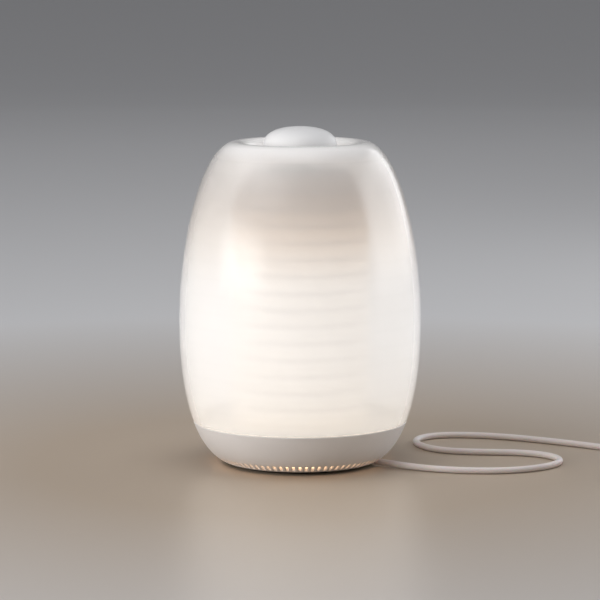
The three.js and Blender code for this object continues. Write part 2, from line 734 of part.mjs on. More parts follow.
add('main_board', sector(BOARD_INNER, BOARD_OUTER, 55, 305, BOARD_LOW, BOARD_HIGH), 'board');
add('radio_can', onBoard(block(12, 18, 0, 3), 120), 'steel');
add('amp_chip', onBoard(block(10, 10, 0, 1.6), 200), 'dark');
add('power_board', sector(BOARD_INNER, BOARD_OUTER, -50, 50, BOARD_LOW, BOARD_HIGH), 'board');
add('transformer', onBoard(block(13, 17, 0, 7), 20), 'dark');
add('capacitor', onBoard(rod(4, 0, 7, 16), -20), 'dark');

add('driver_basket', driverBasket(), 'steel');
add('driver_surround', driverSurround(), 'rubber');
add('driver_cone', driverCone(), 'paper');
add('dust_cap', dustCap(), 'paper');
add('voice_coil', ring(COIL_INNER, COIL_OUTER, CONE_TOP + CLEAR, 32), 'brass');
add('spider', ring(COIL_OUTER + 0.4, 18.8, 25.6, 26.1), 'paper');
add('top_plate', ring(COIL_OUTER + 0.8, MAGNET_RADIUS, BASKET_TOP + 0.4, MAGNET_LOW - CLEAR), 'steel');
add('magnet_ring', ring(11.5, MAGNET_RADIUS, MAGNET_LOW, MAGNET_HIGH), 'dark');
add('yoke', yoke(), 'steel');
add('speaker_chamber', speakerChamber(), 'dark');
add('chassis_ring', chassisRing(), 'white');

add('reflector_plate', rod(46.5, CHAMBER_TOP + CLEAR, REFLECTOR_TOP), 'white');
add('light_column', lightColumn(), 'alloy');
for (let i = 0; i < STRIP_COUNT; i += 1) {
  add(`led_strip_${i + 1}`, ledStrip(i), 'diffuser');
}
add('column_head', columnHead(), 'alloy');
add('signal_harness', rod(1.6, COLUMN_LOW, CAP_HIGH, 10), 'dark');
add('inner_diffuser', innerDiffuser(), 'diffuser');
add('diffuser_cap', ring(HARNESS_BORE, CORE_TOP_RADIUS - 0.2, CORE_HIGH + CLEAR, CAP_HIGH, 26), 'white');
add('shade_gasket', shadeGasket(), 'opal');
add('shade', shade(), 'opal');

add('encoder_board', rod(15, CAP_HIGH + CLEAR, 221.2), 'board');
add('mic_board', around(block(8, 10, CAP_HIGH + CLEAR, CAP_HIGH + 1.9), 24, 90), 'board');
add('encoder_body', encoderBody(), 'steel');
add('top_dish', topDish(), 'white');
add('encoder_nut', encoderNut(), 'steel');
add('switch_plunger', rod(2.4, 224.2, 225.3, 16), 'dark');
add('knob_spring', knobSpring(), 'steel');
add('knob_shaft', rod(SHAFT_RADIUS, 225.6, 245.4, 16), 'steel');
add('knob_insert', ring(SHAFT_RADIUS + CLEAR, 6.2, 237, 245.6), 'brass');
add('knob_cap', knobCap(), 'white');

add('cord_run', tube(RUN_ROUTE, CORD_DIAMETER, 10, 46), 'cord');
add('cord_coil', cordCoil(), 'cord');
add('cord_tie', cordTie(), 'cord');
add('cord_tail', tube(TAIL_ROUTE, CORD_DIAMETER, 10, 8), 'cord');
add('plug_body', plugBody(), 'cord');
add('plug_pin_1', plugPin(-1), 'steel');
add('plug_pin_2', plugPin(1), 'steel');

export default speaker;
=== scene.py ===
"""Looks of the glowing table speaker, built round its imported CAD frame. Metres, +Z up, front -Y."""
import json
import math

import bmesh
import bpy
from mathutils import Matrix, Vector


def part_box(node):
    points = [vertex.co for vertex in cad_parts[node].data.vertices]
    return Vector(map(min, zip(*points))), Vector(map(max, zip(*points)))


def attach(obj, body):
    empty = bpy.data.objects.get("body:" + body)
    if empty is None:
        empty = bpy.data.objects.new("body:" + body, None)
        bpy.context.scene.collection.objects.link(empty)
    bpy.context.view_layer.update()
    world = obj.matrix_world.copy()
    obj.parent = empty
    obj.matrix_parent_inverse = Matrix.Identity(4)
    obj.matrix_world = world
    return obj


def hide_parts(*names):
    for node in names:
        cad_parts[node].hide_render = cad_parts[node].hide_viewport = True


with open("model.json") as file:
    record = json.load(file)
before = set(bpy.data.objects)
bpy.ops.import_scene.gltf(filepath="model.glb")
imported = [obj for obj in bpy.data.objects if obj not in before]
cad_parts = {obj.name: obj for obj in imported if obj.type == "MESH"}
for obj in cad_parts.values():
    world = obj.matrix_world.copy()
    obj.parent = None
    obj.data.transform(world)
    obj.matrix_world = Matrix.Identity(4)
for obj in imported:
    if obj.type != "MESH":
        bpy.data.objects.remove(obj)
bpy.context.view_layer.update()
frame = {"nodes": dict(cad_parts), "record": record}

MM = 0.001
FRONT = math.radians(-90)


# ---- camera ---------------------------------------------------------------------------------
CAMERA_BACK = 2.273        # distance in front of the speaker's axis
CAMERA_HEIGHT = 0.4282
CAMERA_DOWN = 7.674        # degrees below the horizon
CAMERA_LENS = 184.7        # on a 36 mm sensor


def make_camera():
    data = bpy.data.cameras.new("camera")
    data.lens = CAMERA_LENS
    data.sensor_width = 36
    camera = bpy.data.objects.new("camera", data)
    camera.location = (0, -CAMERA_BACK, CAMERA_HEIGHT)
    camera.rotation_euler = (math.radians(90 - CAMERA_DOWN), 0, 0)
    bpy.context.collection.objects.link(camera)
    bpy.context.scene.camera = camera


make_camera()


# ---- shader helpers -------------------------------------------------------------------------
NOISE_LOW = 0.3            # nearly all values of a noise texture lie between these two
NOISE_HIGH = 0.7
FEW_STOPS = 4              # a ramp with more colours than this is smoothed


class Paint:
    """A material with one Principled shader, and short calls for the nodes round it."""

    def __init__(self, name, color, roughness, **sockets):
        self.material = bpy.data.materials.new(name)
        self.material.use_nodes = True
        self.nodes = self.material.node_tree.nodes
        self.links = self.material.node_tree.links
        self.shader = self.nodes["Principled BSDF"]
        self.shader.inputs["Base Color"].default_value = (*color, 1)
        self.shader.inputs["Roughness"].default_value = roughness
        for socket, value in sockets.items():
            self.shader.inputs[socket.replace("_", " ")].default_value = value
        self.place = self.nodes.new("ShaderNodeTexCoord").outputs["Object"]

    def link(self, output, socket):
        self.links.new(output, self.shader.inputs[socket])

    def glow(self, color, strength):
        self.link(color, "Emission Color")
        self.shader.inputs["Emission Strength"].default_value = strength
        return self

    def math(self, operation, first, second=0.0):
        node = self.nodes.new("ShaderNodeMath")
        node.operation = operation
        for socket, value in zip(node.inputs, (first, second)):
            if isinstance(value, (int, float)):
                socket.default_value = value
            else:
                self.links.new(value, socket)
        return node.outputs[0]

    def axis(self, name):
        node = self.nodes.new("ShaderNodeSeparateXYZ")
        self.links.new(self.place, node.inputs[0])
        return node.outputs[name]

    def span(self, value, low, high, to_low=0.0, to_high=1.0):
        """Maps the range from low to high onto another range, and stops at its ends."""
        node = self.nodes.new("ShaderNodeMapRange")
        self.links.new(value, node.inputs["Value"])
        node.inputs["From Min"].default_value = low
        node.inputs["From Max"].default_value = high
        node.inputs["To Min"].default_value = to_low
        node.inputs["To Max"].default_value = to_high
        return node.outputs[0]

    def noise(self, size, detail, stretch=(1, 1, 1)):
        """Noise with patches about as large as the given size."""
        scaling = self.nodes.new("ShaderNodeMapping")
        scaling.inputs["Scale"].default_value = stretch
        self.links.new(self.place, scaling.inputs["Vector"])
        node = self.nodes.new("ShaderNodeTexNoise")
        node.inputs["Scale"].default_value = 1 / size
        node.inputs["Detail"].default_value = detail
        self.links.new(scaling.outputs[0], node.inputs["Vector"])
        return node.outputs["Fac"]

    def ramp(self, value, stops):
        """Colours at positions from 0 to 1, blended in between."""
        node = self.nodes.new("ShaderNodeValToRGB")
        ramp = node.color_ramp
        ramp.interpolation = "B_SPLINE" if len(stops) > FEW_STOPS else "LINEAR"
        while len(ramp.elements) < len(stops):
            ramp.elements.new(0.5)
        for element, (position, color) in zip(ramp.elements, stops):
            element.position = position
            element.color = (*color, 1)
        self.links.new(value, node.inputs[0])
        return node.outputs["Color"]

    def vary(self, color, amount, value):
        """Colour that drifts a little either side of a base colour."""
        low = [channel * (1 - amount) for channel in color]
        high = [min(1, channel * (1 + amount)) for channel in color]
        self.link(self.ramp(value, [(NOISE_LOW, low), (NOISE_HIGH, high)]), "Base Color")
        return self

    def rough(self, low, high, value):
        self.link(self.span(value, NOISE_LOW, NOISE_HIGH, low, high), "Roughness")
        return self

    def bump(self, height, distance, strength=1.0):
        node = self.nodes.new("ShaderNodeBump")
        node.inputs["Strength"].default_value = strength
        node.inputs["Distance"].default_value = distance
        self.links.new(height, node.inputs["Height"])
        self.link(node.outputs[0], "Normal")
        return self


def moulded(name, color, roughness, grain=0.0005, depth=0.00004, **sockets):
    """Moulded plastic or rubber: a fine grain, and slow changes of colour and gloss."""
    paint = Paint(name, color, roughness, **sockets)
    paint.vary(color, 0.03, paint.noise(0.03, 4))
    paint.rough(roughness - 0.05, roughness + 0.06, paint.noise(0.008, 5))
    return paint.bump(paint.noise(grain, 2), depth).material


def metal(name, color, roughness, stretch=(1, 1, 30)):
    """Turned or drawn metal, its fine scratches all one way."""
    paint = Paint(name, color, roughness, Metallic=1.0)
    scratches = paint.noise(0.0015, 4, stretch)
    paint.vary(color, 0.08, scratches)
    paint.rough(roughness - 0.08, roughness + 0.12, scratches)
    return paint.bump(scratches, 0.00001).material


# ---- mesh helpers ---------------------------------------------------------------------------
SHARP = math.radians(38)    # edges that turn by more than this stay crisp
SAME_POINT = 1e-7
ON_AXIS = 1e-6


def finish_mesh(name, bm, material, body="housing", replaces=()):
    """Makes a piece that rides on a body, with its finish, and hides the CAD nodes it stands for."""
    bmesh.ops.remove_doubles(bm, verts=bm.verts, dist=SAME_POINT)
    bmesh.ops.recalc_face_normals(bm, faces=bm.faces)
    for face in bm.faces:
        face.smooth = True
    for edge in bm.edges:
        if edge.is_manifold and edge.calc_face_angle(0) > SHARP:
            edge.smooth = False
    mesh = bpy.data.meshes.new(name)
    bm.to_mesh(mesh)
    bm.free()
    mesh.materials.append(material)
    piece = bpy.data.objects.new(name, mesh)
    bpy.context.collection.objects.link(piece)
    if body:
        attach(piece, body)
    if replaces:
        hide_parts(*replaces)
    return piece


def revolve(outline, sides=128, closed=True):
    """Turns (radius, height) points round the Z axis. A point on the axis becomes one vertex."""
    bm = bmesh.new()
    rings = []
    for radius, height in outline:
        if radius < ON_AXIS:
            rings.append([bm.verts.new((0, 0, height))])
            continue
        ring = []
        for i in range(sides):
            angle = FRONT + 2 * math.pi * i / sides
            ring.append(bm.verts.new((radius * math.cos(angle), radius * math.sin(angle), height)))
        rings.append(ring)
    pairs = list(zip(rings, rings[1:]))
    if closed and len(rings[0]) > 1:
        pairs.append((rings[-1], rings[0]))
    for low, high in pairs:
        bridge(bm, low, high)
    return bm


def bridge(bm, low, high):
    """Faces between two rings of vertices, either of which may be a single point."""
    count = max(len(low), len(high))
    for i in range(count):
        j = (i + 1) % count
        corners = [low[i % len(low)], low[j % len(low)], high[j % len(high)], high[i % len(high)]]
        distinct = []
        for corner in corners:
            if corner not in distinct:
                distinct.append(corner)
        if len(distinct) > 2:
            bm.faces.new(distinct)


LEAST_CORNER = 0.05         # radians
MOST_OF_A_SIDE = 0.48       # how much of a side one fillet may take


def rounded(corners, steps=4):
    """A closed outline whose corners, given as (x, y, fillet), are rounded off."""
    points = []
    count = len(corners)
    for i, (x, y, fillet) in enumerate(corners):
        if fillet <= 0:
            points.append((x, y))
            continue
        here = Vector((x, y))
        before = Vector(corners[i - 1][:2]) - here
        after = Vector(corners[(i + 1) % count][:2]) - here
        reach = fillet / math.tan(max(before.angle(after), LEAST_CORNER) / 2)
        reach = min(reach, MOST_OF_A_SIDE * before.length, MOST_OF_A_SIDE * after.length)
        start = here + before.normalized() * reach
        end = here + after.normalized() * reach
        for step in range(steps + 1):
            t = step / steps
            point = start * (1 - t) ** 2 + here * 2 * t * (1 - t) + end * t ** 2
            points.append(tuple(point))
    return points


# ---- the body's outline, from the frame -----------------------------------------------------
shade_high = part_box("shade")[1]
bowl_low, bowl_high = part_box("base_bowl")
RADIUS = shade_high.x
CREST = shade_high.z
FOOT_GAP = bowl_low.z
SEAM = bowl_high.z + 0.5 * MM
EDGE_RADIUS = 57.4 * MM
WAIST = 105 * MM
LIP_RADIUS = 47.75 * MM
LIP_IN = 8 * MM
LIP_DOWN = 6 * MM
BOWL_WALL = 2.6 * MM
SHADE_WALL = 2.8 * MM
# Where the middle control points of the two curves stand.
BOWL_CONTROL = 0.9256 * RADIUS
ABOVE_FOOT = 12.1 * MM
BELOW_WAIST = 39.7 * MM
ABOVE_WAIST = 63.6 * MM
OUTSIDE_LIP = 24.5 * MM
HALVINGS = 40


class Outline:
    """A cubic curve of (radius, height), with points moved inwards by a wall's thickness."""

    def __init__(self, *controls):
        self.controls = [Vector(control) for control in controls]

    def at(self, t, depth=0.0):
        a, b, c, d = self.controls
        s = 1 - t
        point = a * s ** 3 + b * 3 * s * s * t + c * 3 * s * t * t + d * t ** 3
        along = ((b - a) * s * s + (c - b) * 2 * s * t + (d - c) * t * t).normalized()
        return point + Vector((-along.y, along.x)) * depth

    def param(self, height, depth=0.0):
        """Where along the curve it reaches a height, found by halving."""
        low = 0.0
        high = 1.0
        for _ in range(HALVINGS):
            middle = (low + high) / 2
            if self.at(middle, depth).y < height:
                low = middle
            else:
                high = middle
        return (low + high) / 2

    def run(self, start, end, count, depth=0.0):
        return [tuple(self.at(start + (end - start) * i / count, depth)) for i in range(count + 1)]


bowl_line = Outline((EDGE_RADIUS, FOOT_GAP), (BOWL_CONTROL, FOOT_GAP + ABOVE_FOOT),
                    (RADIUS, WAIST - BELOW_WAIST), (RADIUS, WAIST))
shoulder_line = Outline((RADIUS, WAIST), (RADIUS, WAIST + ABOVE_WAIST),
                        (LIP_RADIUS + OUTSIDE_LIP, CREST), (LIP_RADIUS, CREST))


def ellipse(centre, radius_x, radius_z, start, end, count):
    """Points of an ellipse between two angles in degrees."""
    points = []
    for i in range(count + 1):
        angle = math.radians(start + (end - start) * i / count)
        points.append((centre[0] + radius_x * math.cos(angle), centre[1] + radius_z * math.sin(angle)))
    return points


# ---- lead: route, coil, plug ----------------------------------------------------------------
CORD_DIAMETER = 4.8 * MM
OFF_TABLE = 0.08 * MM       # keeps the curve's overshoots out of the table
COIL_CENTRE = Vector((0.279, 0.0472))
COIL_INNER = 22.8 * MM      # to the middle of the lead, in the inmost and the outmost turns
COIL_OUTER = 32.4 * MM
LAYER = 4.3 * MM
PLUG_START = Vector((0.250, -0.028, 0.0069))
PLUG_LONG = 36 * MM
TIE_AZIMUTH = 25

# The same points as the CAD route, in metres.
RUN_ROUTE = [
    (0.0558, -0.0180, 0.00338), (0.0599, -0.0207, 0.00315), (0.0672, -0.0252, 0.00295),
    (0.0744, -0.0304, 0.0028), (0.0816, -0.0350, 0.00265), (0.0888, -0.0389, 0.0025),
    (0.0960, -0.0422, 0.0024), (0.1032, -0.0451, 0.0024), (0.1177, -0.0490, 0.0024),
    (0.1323, -0.0509, 0.0024), (0.1470, -0.0505, 0.0024), (0.1619, -0.0466, 0.0024),
    (0.1773, -0.0380, 0.0024), (0.1868, -0.0285, 0.0024), (0.1924, -0.0180, 0.0024),
    (0.1939, -0.0070, 0.0024), (0.1908, 0.0030, 0.0024), (0.1844, 0.0112, 0.0024),
    (0.1704, 0.0198, 0.0024), (0.1517, 0.0233, 0.0024), (0.1292, 0.0254, 0.0024),
    (0.1135, 0.0298, 0.0024), (0.1026, 0.0373, 0.0024), (0.0938, 0.0500, 0.0024),
    (0.0899, 0.0640, 0.0024), (0.0914, 0.0785, 0.0024), (0.0986, 0.0894, 0.0024),
    (0.1094, 0.0956, 0.0024), (0.1230, 0.0974, 0.0024), (0.1408, 0.0951, 0.0024),
    (0.1561, 0.0903, 0.0024), (0.1711, 0.0833, 0.0024), (0.1860, 0.0750, 0.0024),
    (0.2007, 0.0655, 0.0024), (0.2152, 0.0557, 0.0024), (0.2295, 0.0451, 0.0024),
    (0.2426, 0.0354, 0.0024),
]
TAIL_ROUTE = [
    (0.2414, 0.0365, 0.0095), (0.2416, 0.0240, 0.0060), (0.2426, 0.0120, 0.0032),
    (0.2446, 0.0000, 0.0024), (0.2470, -0.0090, 0.0034), (0.2492, -0.0185, 0.0059),
    (0.2500, -0.0273, 0.0069),
]
# Where each turn lies in the bundle: column (0 inside to 2 outside) and layer.
STRANDS = [(2, 0), (1, 0), (0, 0), (0, 1), (1, 1), (2, 1), (0.6, 2), (1.6, 2)]
COIL_START = math.radians(-126.5)
COIL_TURNS = 6.84
TURN_POINTS = 18
LAST_COLUMN = 2
CHANGE = 0.22               # part of a turn over which a strand moves to the next place
TIE_LIFT = 1.2 * MM         # the turns rise a little where they pass through the strap
TIE_REACH = 0.45            # radians either side of the strap


def coil_point(turns):
    """A point of the coil, a number of turns from where the lead reaches it."""
    index = int(turns)
    part = turns - index
    here = STRANDS[index]
    following = STRANDS[min(index + 1, len(STRANDS) - 1)]
    ease = max(0.0, (part - (1 - CHANGE)) / CHANGE)
    ease = ease * ease * (3 - 2 * ease)
    column = here[0] + (following[0] - here[0]) * ease
    layer = here[1] + (following[1] - here[1]) * ease
    radius = COIL_INNER + (COIL_OUTER - COIL_INNER) * column / LAST_COLUMN
    angle = COIL_START + 2 * math.pi * turns
    from_tie = (angle - math.radians(TIE_AZIMUTH) + math.pi) % (2 * math.pi) - math.pi
    lifted = TIE_LIFT * math.exp(-(from_tie / TIE_REACH) ** 2)
    return (COIL_CENTRE.x + radius * math.cos(angle), COIL_CENTRE.y + radius * math.sin(angle),
            CORD_DIAMETER / 2 + lifted + layer * LAYER)


def make_cord(material):
    """The whole lead as one curve: visible run, coil and tail."""
    points = list(RUN_ROUTE)
    for i in range(int(COIL_TURNS * TURN_POINTS) + 1):
        points.append(coil_point(i / TURN_POINTS))
    points += TAIL_ROUTE
    points = [(x, y, z + OFF_TABLE) for x, y, z in points]
    curve = bpy.data.curves.new("mains_lead", "CURVE")
    curve.dimensions = "3D"
    curve.bevel_depth = CORD_DIAMETER / 2
    curve.bevel_resolution = 6
    curve.resolution_u = 5
    curve.use_fill_caps = True
    spline = curve.splines.new("BEZIER")
    spline.bezier_points.add(len(points) - 1)
    for knot, point in zip(spline.bezier_points, points):
        knot.co = point
        knot.handle_left_type = "AUTO"
        knot.handle_right_type = "AUTO"
    curve.materials.append(material)
    lead = bpy.data.objects.new("mains_lead", curve)
    bpy.context.collection.objects.link(lead)
    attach(lead, "housing")
    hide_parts("cord_run", "cord_coil", "cord_tail")
    return lead


def loft(sections, closed_ends=True):
    """Skins a list of loops, each a list of points with the same count."""
    bm = bmesh.new()
    loops = [[bm.verts.new(point) for point in section] for section in sections]
    for low, high in zip(loops, loops[1:]):
        bridge(bm, low, high)
    if closed_ends:
        bm.faces.new(loops[0])
        bm.faces.new(loops[-1])
    return bm


def smooth_step(value):
    value = min(1.0, max(0.0, value))
    return value * value * (3 - 2 * value)


PLUG_NECK = 4.1 * MM        # half thickness where the lead enters
PLUG_STATIONS = 72
PLUG_SIDES = 40
RELIEF_RING_DEPTH = 0.1     # part of the neck's size
RELIEF_RING_LONG = 0.028    # part of the plug's length, as are the next three
RELIEF_RINGS_END = 0.2
GRIP_START = 0.5
GRIP_END = 0.86
GRIP_DEPTH = 0.45 * MM
GRIP_WAVES = 22


def plug_loop(along, half_wide, half_high):
    """The plug's outline at a part of its length, from 0 at the lead to 1 at the pins."""
    swell = smooth_step((along - 0.16) / 0.5)
    wide = PLUG_NECK + (half_wide - PLUG_NECK) * swell
    high = PLUG_NECK + (half_high - PLUG_NECK) * smooth_step((along - 0.1) / 0.4)
    power = 2 + 2.2 * swell
    end = 1 - 0.16 * max(0.0, (along - 0.94) / 0.06) ** 2
    start = 0.72 + 0.28 * min(1.0, along / 0.03)
    ring = 1.0
    if along < RELIEF_RINGS_END and int(along / RELIEF_RING_LONG) % 2:
        ring = 1 - RELIEF_RING_DEPTH
    grip = 0.0
    if GRIP_START < along < GRIP_END:
        grip = GRIP_DEPTH * (0.5 + 0.5 * math.cos(along * 2 * math.pi * GRIP_WAVES))
    loop = []
    for k in range(PLUG_SIDES):
        angle = 2 * math.pi * k / PLUG_SIDES
        across = math.cos(angle)
        rise = math.sin(angle)
        x = math.copysign(abs(across) ** (2 / power), across) * wide * end * start * ring
        z = math.copysign(abs(rise) ** (2 / power), rise) * high * end * start * ring
        x -= math.copysign(grip, across) * abs(across) ** 4
        loop.append((PLUG_START.x + x, PLUG_START.y - along * PLUG_LONG, PLUG_START.z + z))
    return loop


def make_plug(material):
    """A slim moulded plug: a round neck with relief rings swells into a flat body with grips."""
    low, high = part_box("plug_body")
    half_wide = (high.x - low.x) / 2
    half_high = (high.z - low.z) / 2
    sections = [plug_loop(i / PLUG_STATIONS, half_wide, half_high) for i in range(PLUG_STATIONS + 1)]
    return finish_mesh("plug", loft(sections), material, replaces=["plug_body"])


def make_pin(side, metal_material, sleeve_material):
    """One pin of the plug: a bare round-ended tip, and a sleeve over the half nearer the plug."""
    low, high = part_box(f"plug_pin_{side}")
    radius = (high.z - low.z) / 2
    long = high.y - low.y
    tip_radius = radius * 0.98
    tip_start = long * 0.5
    bore = radius * 0.6
    sleeve_end = long * 0.52
    centre = Vector(((low.x + high.x) / 2, high.y, (low.z + high.z) / 2))
    place = Matrix.Translation(centre) @ Matrix.Rotation(math.radians(90), 4, "X")
    dome = ellipse((0, long - radius), tip_radius, radius, 0, 82, 8)
    tip = revolve([(0, long), *reversed(dome), (tip_radius, tip_start), (0, tip_start)], 32, closed=False)
    sleeve = revolve(rounded([(bore, 0, 0), (radius, 0, 0.2 * MM), (radius, sleeve_end, 0.3 * MM),
                              (bore, sleeve_end, 0)]), 32)
    pieces = []
    for name, bm, material, slot, replaced in (
            ("pin_tip", tip, metal_material, "plug_metal", [f"plug_pin_{side}"]),
            ("pin_sleeve", sleeve, sleeve_material, "dark_plastic", [])):
        bmesh.ops.transform(bm, matrix=place, verts=bm.verts)
        pieces.append(finish_mesh(f"{name}_{side}", bm, material, replaces=replaced))
    return pieces


def make_tie(material):
    """A woven strap round the bundle of turns."""
    low = 0.15 * MM
    high = 3 * LAYER + 2.6 * MM
    slack = 0.3 * MM
    inner = COIL_INNER - CORD_DIAMETER / 2 - slack
    outer = COIL_OUTER + CORD_DIAMETER / 2 + slack
    thick = 0.75 * MM
    wide = 7.6 * MM
    path = rounded([(inner, low, 2.2 * MM), (outer, low, 2.2 * MM), (outer, high, 3.4 * MM),
                    (inner, high, 3.4 * MM)], 6)
    count = len(path)
    sections = []
    for i in range(count):
        here = Vector(path[i])
        before = Vector(path[i - 1])
        after = Vector(path[(i + 1) % count])
        along = (after - before).normalized()
        out = Vector((along.y, -along.x))
        loop = []
        for side, depth in ((-1, 0), (1, 0), (1, 1), (-1, 1)):
            point = here - out * thick * (1 - depth)
            loop.append((point.x, side * wide / 2, point.y))
        sections.append(loop)
    bm = loft(sections + [sections[0]], closed_ends=False)
    turn = Matrix.Rotation(math.radians(TIE_AZIMUTH), 4, "Z")
    place = Matrix.Translation((COIL_CENTRE.x, COIL_CENTRE.y, 0)) @ turn
    bmesh.ops.transform(bm, matrix=place, verts=bm.verts)
    return finish_mesh("tie_strap", bm, material, replaces=["cord_tie"])


def sheath_material():
    """Satin soft plastic of the lead: nearly smooth, faintly warm."""
    color = (0.84, 0.77, 0.74)
    paint = Paint("lead_sheath", color, 0.42, Subsurface_Weight=0.12, Subsurface_Scale=0.002)
    paint.vary(color, 0.03, paint.noise(0.02, 3))
    paint.rough(0.36, 0.5, paint.noise(0.004, 4))
    return paint.bump(paint.noise(0.0004, 2), 0.00003).material


THREADS = 9000              # radians of weave to a metre


def strap_material():
    """Woven strap: two crossing waves as the weave."""
    color = (0.62, 0.58, 0.55)
    paint = Paint("woven_strap", color, 0.85, Sheen_Weight=0.4)
    across = paint.math("SINE", paint.math("MULTIPLY", paint.axis("X"), THREADS))
    along = paint.math("SINE", paint.math("MULTIPLY", paint.axis("Y"), THREADS))
    weave = paint.math("MULTIPLY", across, along)
    paint.vary(color, 0.16, paint.span(weave, -1, 1))
    return paint.bump(paint.span(weave, -1, 1), 0.00012).material


sheath = sheath_material()
nickel = metal("nickel_pin", (0.72, 0.71, 0.69), 0.22)
black_sleeve = moulded("pin_sleeve", (0.03, 0.03, 0.03), 0.45)

lead = make_cord(sheath)
plug = make_plug(sheath)
on_lead = [plug, make_tie(strap_material())]
for pin_side in (1, 2):
    on_lead += make_pin(pin_side, nickel, black_sleeve)


# ---- materials of the body ------------------------------------------------------------------
GLOW_HIGH = 0.26            # the height where the colour ramps end
RIB_PITCH = 12.33 * MM
RIB_FIRST = 34.2 * MM
GROOVE_STARTS = 0.30        # parts of a pitch from the middle of a rib
GROOVE_DEEPEST = 0.48


def by_height(paint, stops):
    """Colours placed by height, in millimetres above the table."""
    height = paint.span(paint.axis("Z"), 0.0, GLOW_HIGH)
    placed = [(z * MM / GLOW_HIGH, color) for z, color in stops]
    return paint.ramp(height, placed)


def ribs(paint, on_rib, in_groove):
    """One value on the core's ribs and another in the grooves between them: painted shade in the grooves,
    and painted bands of light on the shell.
    """
    turns = paint.math("DIVIDE", paint.math("SUBTRACT", paint.axis("Z"), RIB_FIRST), RIB_PITCH)
    phase = paint.math("ABSOLUTE", paint.math("SUBTRACT", paint.math("FRACT", turns), 0.5))
    return paint.span(phase, GROOVE_STARTS, GROOVE_DEEPEST, on_rib, in_groove)


def dimmed(paint, color, amount):
    """A colour scaled by a value."""
    scale = paint.nodes.new("ShaderNodeVectorMath")
    scale.operation = "SCALE"
    paint.links.new(color, scale.inputs[0])
    paint.links.new(amount, scale.inputs["Scale"])
    return scale.outputs[0]


def opal_material():
    """Glossy opal shell: partly clear, so that the core shows softly. Its glow is painted light from the
    lamps inside, with painted shade in a band below the top. The thick rolled lip is nearly opaque."""
    color = (0.87, 0.86, 0.85)
    paint = Paint("opal_shell", color, 0.23, IOR=1.3,
                  Coat_Weight=1.0, Coat_Roughness=0.18, Coat_IOR=1.5)
    paint.vary(color, 0.012, paint.noise(0.05, 3))
    # painted light by height: bright near the seam, a band of painted shade up to 212 mm, brighter again
    # at the lip
    glow = by_height(paint, [
        (30, (0.250, 0.230, 0.204)), (60, (0.216, 0.214, 0.212)), (140, (0.212, 0.209, 0.207)),
        (165, (0.188, 0.172, 0.156)), (185, (0.134, 0.117, 0.102)), (212, (0.078, 0.067, 0.059)),
        (234, (0.13, 0.125, 0.12)), (240, (0.21, 0.20, 0.19))])
    # faint painted bands of light and shade from the core's ribs
    paint.glow(dimmed(paint, glow, ribs(paint, 1.0, 0.978)), 1.0)
    below_lip = 229 * MM
    in_lip = 238 * MM
    paint.link(paint.span(paint.axis("Z"), below_lip, in_lip, 0.62, 0.06), "Transmission Weight")
    return paint.bump(paint.noise(0.02, 2), 0.00002, 0.4).material


def core_material():
    """Frosted ribbed diffuser. Its glow is painted light from the lamps inside; its colour and glow darken
    towards the top as painted shade, and the grooves between the ribs are dimmer as painted shade.
    """
    paint = Paint("ribbed_diffuser", (0.80, 0.74, 0.67), 0.6)
    # base colour darkens to brown towards the top: painted shade
    paint.link(by_height(paint, [
        (140, (0.80, 0.74, 0.67)), (175, (0.50, 0.38, 0.28)), (198, (0.20, 0.13, 0.085)),
        (225, (0.16, 0.105, 0.07))]), "Base Color")
    # painted light from the lamps inside, fading towards the top as painted shade
    glow = by_height(paint, [
        (30, (0.30, 0.26, 0.20)), (60, (0.34, 0.31, 0.27)), (140, (0.34, 0.31, 0.27)),
        (160, (0.33, 0.27, 0.21)), (185, (0.26, 0.17, 0.10)), (205, (0.10, 0.06, 0.035)),
        (222, (0.05, 0.035, 0.025))])
    # painted shade in the grooves between the ribs
    paint.glow(dimmed(paint, glow, ribs(paint, 1.0, 0.22)), 1.0)
    return paint.bump(paint.noise(0.0006, 2), 0.00004).material


def lit_cloth_material():
    """Cloth behind the slots, lit warm from inside."""
    color = (0.85, 0.62, 0.42)
    paint = Paint("lit_cloth", color, 0.9)
    weave = paint.noise(0.0005, 2)
    paint.glow(paint.ramp(weave, [(NOISE_LOW, (1.0, 0.66, 0.40)), (NOISE_HIGH, (1.0, 0.78, 0.54))]), 1.5)
    return paint.bump(weave, 0.0001).material


def seam_material():
    """Gasket of the seam, lit along its edge."""
    color = (0.9, 0.87, 0.83)
    paint = Paint("seam_gasket", color, 0.3)
    drift = [(NOISE_LOW, (0.60, 0.53, 0.46)), (NOISE_HIGH, (0.68, 0.62, 0.55))]
    paint.glow(paint.ramp(paint.noise(0.02, 2), drift), 0.5)
    return paint.material


def satin_white_material():
    """Fine satin white of the bowl and the well."""
    color = (0.92, 0.905, 0.90)
    paint = Paint("satin_white", color, 0.42, Coat_Weight=0.08, Coat_Roughness=0.3)
    paint.vary(color, 0.02, paint.noise(0.04, 4))
    paint.rough(0.38, 0.5, paint.noise(0.006, 5))
    return paint.bump(paint.noise(0.00035, 2), 0.000025).material


opal = opal_material()
core_glow = core_material()
lit_cloth = lit_cloth_material()
seam_glow = seam_material()
satin_white = satin_white_material()
knob_white = moulded("knob_white", (0.93, 0.925, 0.92), 0.36, Coat_Weight=0.15, Coat_Roughness=0.2)
soft_rubber = moulded("foot_rubber", (0.025, 0.024, 0.023), 0.75, grain=0.0008)
inner_white = moulded("inner_white", (0.78, 0.76, 0.73), 0.5)


